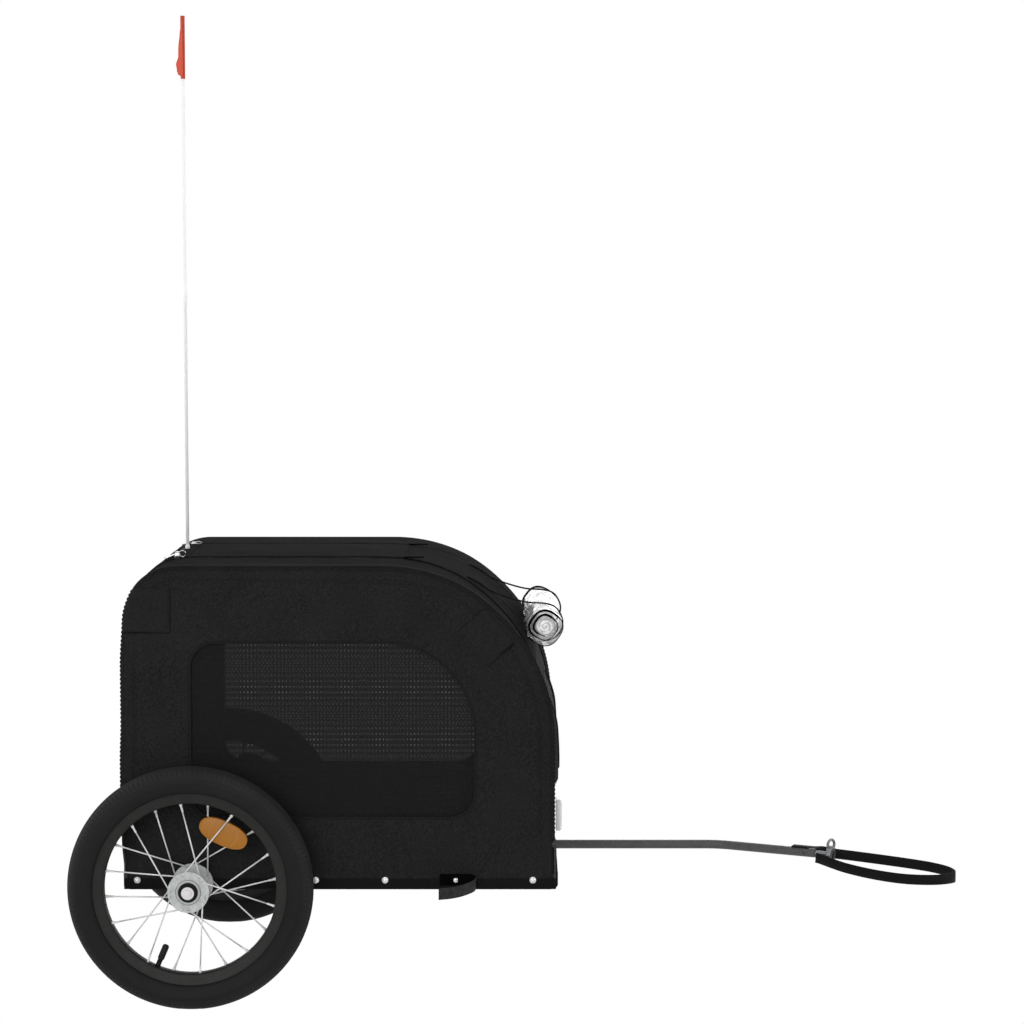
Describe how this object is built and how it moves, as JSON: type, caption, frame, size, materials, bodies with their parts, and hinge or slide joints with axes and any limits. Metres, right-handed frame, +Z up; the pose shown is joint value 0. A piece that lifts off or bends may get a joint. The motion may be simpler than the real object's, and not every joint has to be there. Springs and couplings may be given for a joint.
{
  "type": "dog bike trailer",
  "caption": "Two-wheel pet trailer with a folding fabric cabin, mesh side windows, rolled rain cover, side drawbar with safety strap, and a flag, towed behind a bicycle.",
  "frame": {"origin": "on the ground, under the middle of the wheel axle", "axes": "+X forward towards the hitch, +Y to the trailer's left, +Z up"},
  "size_m": [1.5019, 0.7106, 1.664],
  "materials": {
    "frame_paint": "black powder coat",
    "cloth": "charcoal woven polyester",
    "net": "black polyester net",
    "webbing": "black woven webbing",
    "mat": "dark grey quilted pad",
    "board": "black board",
    "tyre": "black rubber",
    "tube": "butyl rubber",
    "rim": "black satin paint",
    "steel": "zinc plated steel",
    "amber": "amber reflector lens",
    "clear_lens": "white reflector lens",
    "bar_paint": "grey powder coat",
    "chrome": "bright plated",
    "black_plastic": "moulded black plastic",
    "pole": "pale glass-fibre rod",
    "pennant": "signal orange-red cloth",
    "clear_sheet": "clear flexible sheet",
    "elastic": "black elastic cord"
  },
  "bodies": {
    "base": {"left_floor_rail": "frame_paint", "right_floor_rail": "frame_paint", "cross_tubes": "frame_paint", "axle_tube": "frame_paint", "floor_board": "board", "floor_mat": "mat", "axle_pins": "chrome", "hinge_brackets": "frame_paint", "hinge_pins": "steel", "roof_cover": "cloth", "front_cover": "cloth", "rear_cover": "cloth", "side_skirts": "cloth", "snap_heads": "chrome", "tie_strap": "webbing", "front_reflectors": "clear_lens", "rain_cover_roll": "clear_sheet", "rain_cover_ties": "elastic", "drawbar_clamps": "black_plastic", "flag_socket": "black_plastic"},
    "right_wheel": {"right_tyre": "tyre", "right_inner_tube": "tube", "right_rim": "rim", "right_spokes": "steel", "right_hub": "steel", "right_bearings": "steel", "right_spoke_reflector": "amber"},
    "right_button": {"right_release_button": "chrome"},
    "right_side": {"right_hoop": "frame_paint", "right_panel": "cloth", "right_window_net": "net", "right_bar_pins": "steel"},
    "right_rear_bar": {"right_rear_bar": "frame_paint"},
    "right_front_bar": {"right_front_bar": "frame_paint"},
    "right_zip": {"right_zip_slider": "chrome"},
    "left_wheel": {"left_tyre": "tyre", "left_inner_tube": "tube", "left_rim": "rim", "left_spokes": "steel", "left_hub": "steel", "left_bearings": "steel", "left_spoke_reflector": "amber"},
    "left_button": {"left_release_button": "chrome"},
    "left_side": {"left_hoop": "frame_paint", "left_panel": "cloth", "left_window_net": "net", "left_bar_pins": "steel"},
    "left_rear_bar": {"left_rear_bar": "frame_paint"},
    "left_front_bar": {"left_front_bar": "frame_paint"},
    "left_zip": {"left_zip_slider": "chrome"},
    "roof_flap": {"roof_flap": "cloth"},
    "front_door": {"front_door": "cloth"},
    "rear_door": {"rear_door": "cloth"},
    "drawbar": {"drawbar_tube": "bar_paint", "safety_strap": "webbing", "strap_bolt": "steel"},
    "hitch": {"hitch_socket": "steel"},
    "clamp_knob": {"clamp_knob": "black_plastic"},
    "flag": {"flag_pole": "pole", "pennant": "pennant"}
  },
  "joints": [
    {"name": "right_wheel_spin", "type": "hinge", "parent": "base", "child": "right_wheel", "pos_m": [0, -0.31, 0.2], "axis": [0, 1, 0], "continuous": true},
    {"name": "right_button_press", "type": "slide", "parent": "base", "child": "right_button", "axis": [0, 1, 0], "range_m": [0, 0.002], "stiffness_N_per_m": 400},
    {"name": "right_side_fold", "type": "hinge", "parent": "base", "child": "right_side", "pos_m": [0, -0.255, 0.262], "axis": [-1, 0, 0], "range_deg": [0, 90]},
    {"name": "right_rear_bar_swing", "type": "hinge", "parent": "right_side", "child": "right_rear_bar", "pos_m": [-0.08, -0.255, 0.654], "axis": [0, 0, -1], "range_deg": [0, 90]},
    {"name": "right_front_bar_swing", "type": "hinge", "parent": "right_side", "child": "right_front_bar", "pos_m": [0.48705, -0.255, 0.609], "axis": [0, 0, 1], "range_deg": [0, 90]},
    {"name": "right_zip_slide", "type": "slide", "parent": "base", "child": "right_zip", "axis": [1, 0, 0], "range_m": [0, 0.37]},
    {"name": "left_wheel_spin", "type": "hinge", "parent": "base", "child": "left_wheel", "pos_m": [0, 0.31, 0.2], "axis": [0, 1, 0], "continuous": true},
    {"name": "left_button_press", "type": "slide", "parent": "base", "child": "left_button", "axis": [0, -1, 0], "range_m": [0, 0.002], "stiffness_N_per_m": 400},
    {"name": "left_side_fold", "type": "hinge", "parent": "base", "child": "left_side", "pos_m": [0, 0.255, 0.235], "axis": [1, 0, 0], "range_deg": [0, 90]},
    {"name": "left_rear_bar_swing", "type": "hinge", "parent": "left_side", "child": "left_rear_bar", "pos_m": [-0.08, 0.255, 0.654], "axis": [0, 0, 1], "range_deg": [0, 90]},
    {"name": "left_front_bar_swing", "type": "hinge", "parent": "left_side", "child": "left_front_bar", "pos_m": [0.48705, 0.255, 0.609], "axis": [0, 0, -1], "range_deg": [0, 90]},
    {"name": "left_zip_slide", "type": "slide", "parent": "base", "child": "left_zip", "axis": [1, 0, 0], "range_m": [0, 0.37]},
    {"name": "roof_flap_lift", "type": "hinge", "parent": "base", "child": "roof_flap", "pos_m": [0.35, 0, 0.726], "axis": [0, 1, 0], "range_deg": [0, 120]},
    {"name": "front_door_lift", "type": "hinge", "parent": "base", "child": "front_door", "pos_m": [0.57893, 0, 0.55395], "axis": [0, -1, 0], "range_deg": [0, 90]},
    {"name": "rear_door_lift", "type": "hinge", "parent": "base", "child": "rear_door", "pos_m": [-0.118, 0, 0.6], "axis": [0, 1, 0], "range_deg": [0, 100]},
    {"name": "drawbar_stow", "type": "slide", "parent": "base", "child": "drawbar", "axis": [1, 0, 0], "range_m": [-0.27, 0]},
    {"name": "hitch_swivel", "type": "hinge", "parent": "drawbar", "child": "hitch", "pos_m": [1.07406, 0.11008, 0.17], "axis": [0.9041, -0.4274, 0], "continuous": true},
    {"name": "clamp_knob_turn", "type": "hinge", "parent": "base", "child": "clamp_knob", "pos_m": [0.5917, 0.19, 0.17], "axis": [0, 1, 0], "continuous": true},
    {"name": "flag_lift", "type": "slide", "parent": "base", "child": "flag", "axis": [0, 0, 1], "range_m": [0, 0.036]}
  ],
  "couplings": [
    {"joint": "right_rear_bar_swing", "follows": "right_side_fold", "ratio": 1},
    {"joint": "right_front_bar_swing", "follows": "right_side_fold", "ratio": 1},
    {"joint": "left_rear_bar_swing", "follows": "left_side_fold", "ratio": 1},
    {"joint": "left_front_bar_swing", "follows": "left_side_fold", "ratio": 1}
  ]
}
